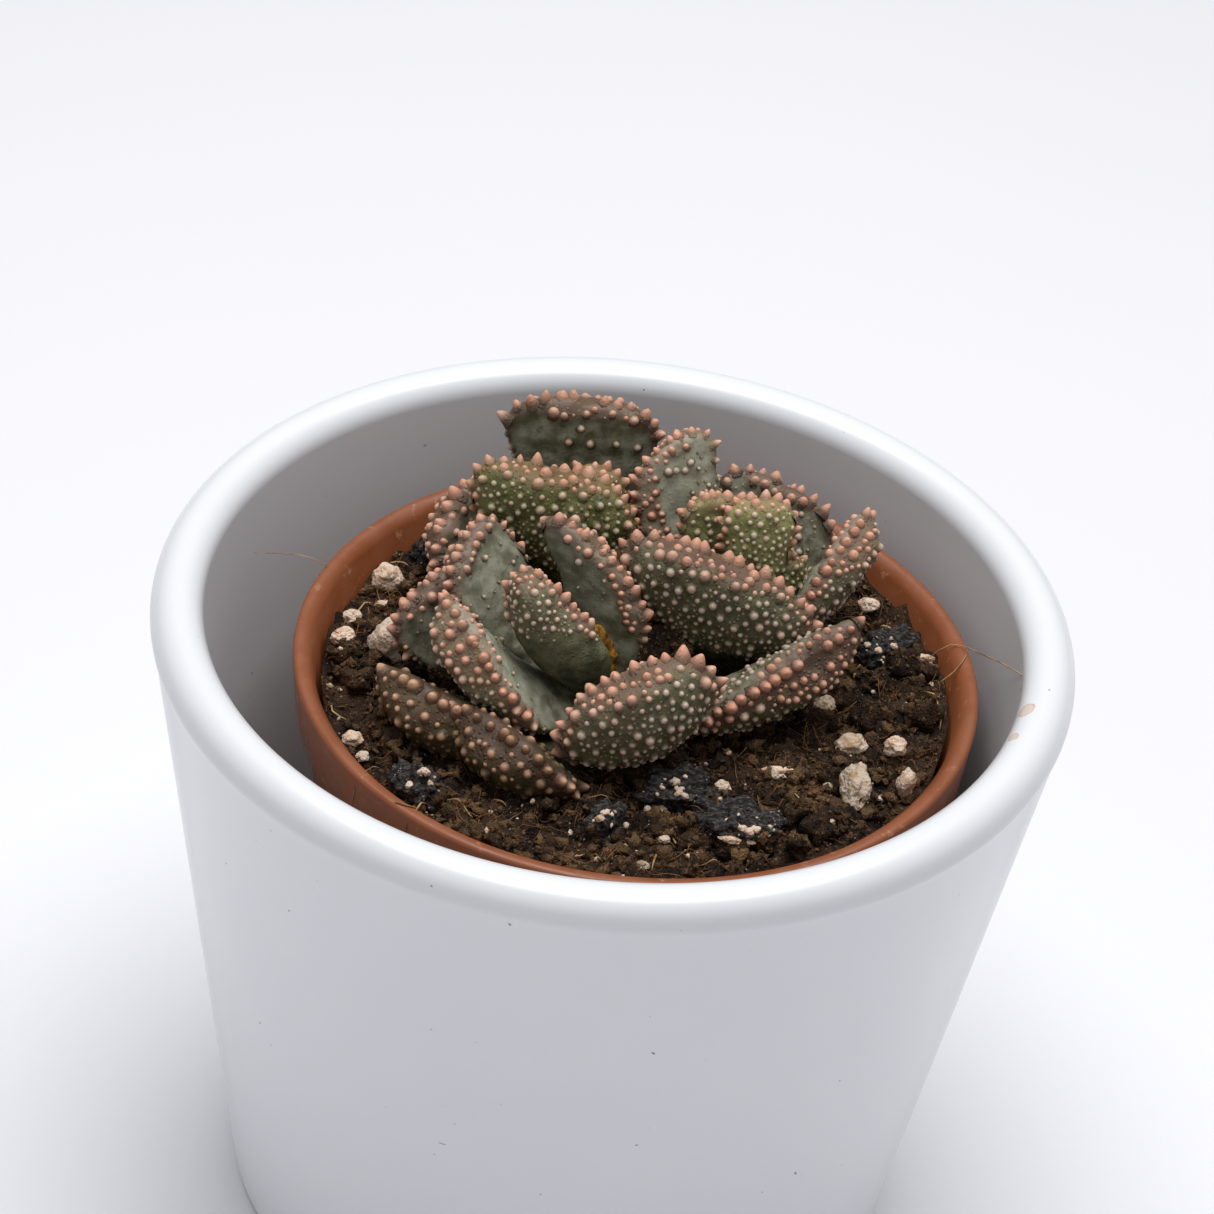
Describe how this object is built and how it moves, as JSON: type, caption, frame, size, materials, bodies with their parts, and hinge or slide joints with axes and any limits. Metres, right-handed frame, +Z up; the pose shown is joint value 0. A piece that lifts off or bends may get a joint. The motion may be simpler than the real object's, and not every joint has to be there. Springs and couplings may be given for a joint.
{
  "type": "potted succulent",
  "caption": "Small potted titanopsis: heads of warty spoon-shaped leaves in peat, in a terracotta plastic nursery pot inside a white glazed cover pot.",
  "frame": {"origin": "centre of the cover pot's underside, at the bottom centre of the whole object's box", "axes": "+Z up along the cover pot's axis, -Y towards the camera of the picture, +X to its right"},
  "size_m": [0.0734, 0.0734, 0.0645],
  "materials": {
    "white_glaze": "gloss",
    "terracotta_plastic": "satin",
    "peat": "matte",
    "bare_stem": "matte",
    "grown_leaf": "matte",
    "young_leaf": "matte",
    "old_leaf": "matte",
    "dried_leaf": "matte"
  },
  "bodies": {
    "root": {"cover_pot": "white_glaze", "nursery_pot": "terracotta_plastic", "soil": "peat", "front_head_stem": "bare_stem", "right_head_stem": "bare_stem", "back_head_stem": "bare_stem", "front_head_leaf_near": "grown_leaf", "front_head_leaf_left": "grown_leaf", "front_head_leaf_young": "young_leaf", "front_head_leaf_far": "grown_leaf", "front_head_leaf_right": "grown_leaf", "front_head_leaf_back_left": "grown_leaf", "front_head_leaf_outer_left": "grown_leaf", "front_head_leaf_low_left": "old_leaf", "front_head_leaf_low_near": "old_leaf", "front_head_leaf_dried": "dried_leaf", "right_head_leaf_near": "grown_leaf", "right_head_leaf_right": "grown_leaf", "right_head_leaf_far": "grown_leaf", "right_head_leaf_left": "grown_leaf", "right_head_leaf_young_near": "young_leaf", "right_head_leaf_young_far": "young_leaf", "right_head_leaf_inner": "young_leaf", "back_head_leaf_near": "grown_leaf", "back_head_leaf_young": "young_leaf", "back_head_leaf_far": "grown_leaf", "back_head_leaf_left": "old_leaf"}
  },
  "joints": []
}
